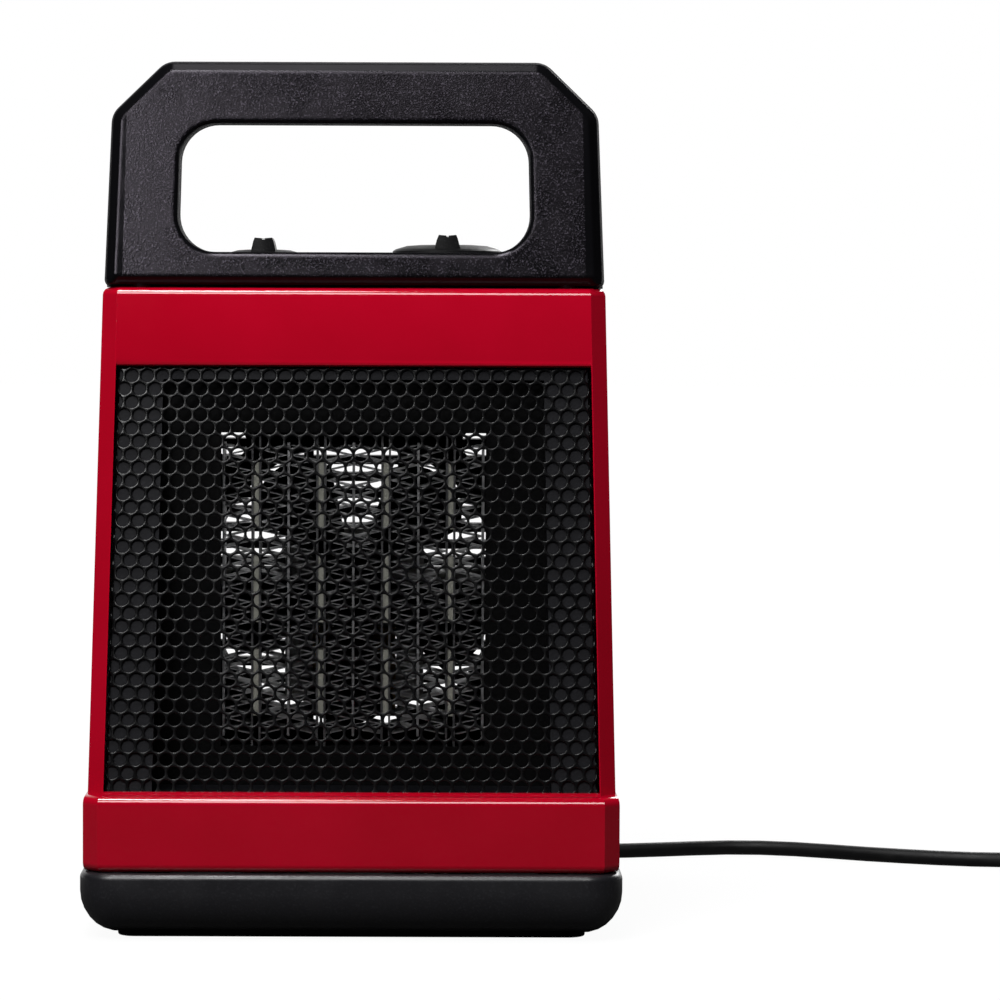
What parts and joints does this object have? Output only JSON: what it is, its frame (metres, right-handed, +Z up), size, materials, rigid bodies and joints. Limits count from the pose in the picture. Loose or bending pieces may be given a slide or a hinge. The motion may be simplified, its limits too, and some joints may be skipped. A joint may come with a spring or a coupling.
{
  "type": "portable electric heater",
  "caption": "Small upright electric fan heater with a leaning perforated front grille, red bezel, black base, carrying handle and rotary controls on a rear deck.",
  "frame": {"origin": "on the floor under the middle of the base", "axes": "+Z up, -Y out of the front grille, +X to the right seen from the front"},
  "size_m": [0.4986, 0.2767, 0.342],
  "materials": {
    "red_plastic": "moulded gloss red",
    "black_plastic": "fine spark-textured black",
    "foot_rubber": "matte rubber",
    "grille_paint": "black baked paint",
    "fin_aluminium": "bare rolled strip",
    "ceramic": "fired ceramic",
    "inner_plastic": "dull black heat-resistant plastic",
    "steel": "zinc plated",
    "coil_tape": "wound wire under tape",
    "ivory_plastic": "moulded ivory",
    "knob_plastic": "satin black",
    "cord_rubber": "satin black jacket",
    "tie_strap": "black hook and loop strap",
    "brass": "nickel washed brass"
  },
  "bodies": {
    "chassis": {"base_tray": "black_plastic", "foot_strips": "foot_rubber", "front_bezel": "red_plastic", "rear_housing": "black_plastic", "rear_grille": "black_plastic", "handle_front": "black_plastic", "handle_rear": "black_plastic", "top_cover": "black_plastic", "front_grille": "grille_paint", "grille_baffle": "inner_plastic", "heater_frame": "inner_plastic", "heater_rails": "inner_plastic", "heater_fins": "fin_aluminium", "ceramic_stones": "ceramic", "electrode_plates": "fin_aluminium", "separator_plates": "fin_aluminium", "fan_tunnel": "inner_plastic", "stator_core": "steel", "stator_coil": "coil_tape", "bearing_front": "steel", "bearing_rear": "steel", "motor_plate": "steel", "motor_screws": "steel", "thermostat_body": "ivory_plastic", "selector_body": "ivory_plastic", "overheat_cutout": "ivory_plastic", "thermal_fuse": "steel", "tip_over_switch": "ivory_plastic", "terminal_block": "ivory_plastic", "inner_leads": "cord_rubber", "cord_anchor": "inner_plastic", "case_screws": "steel", "base_screws": "steel", "handle_screws": "steel", "strain_relief": "cord_rubber", "power_cord": "cord_rubber", "cord_coil": "cord_rubber", "cord_tie": "tie_strap", "plug_body": "cord_rubber", "plug_blades": "brass"},
    "fan_rotor": {"fan_impeller": "inner_plastic", "motor_shaft": "steel", "motor_rotor": "steel"},
    "thermostat": {"thermostat_shaft": "steel", "thermostat_knob": "knob_plastic"},
    "selector": {"selector_shaft": "steel", "selector_knob": "knob_plastic"}
  },
  "joints": [
    {"name": "fan_spin", "type": "hinge", "parent": "chassis", "child": "fan_rotor", "pos_m": [0, 0.02, 0.133], "axis": [0, 1, 0], "continuous": true},
    {"name": "thermostat_turn", "type": "hinge", "parent": "chassis", "child": "thermostat", "pos_m": [0.037, 0.02604, 0.267], "axis": [0, 0, 1], "range_deg": [-300, 0]},
    {"name": "selector_turn", "type": "hinge", "parent": "chassis", "child": "selector", "pos_m": [-0.037, 0.02604, 0.267], "axis": [0, 0, 1], "range_deg": [-135, 0]}
  ]
}
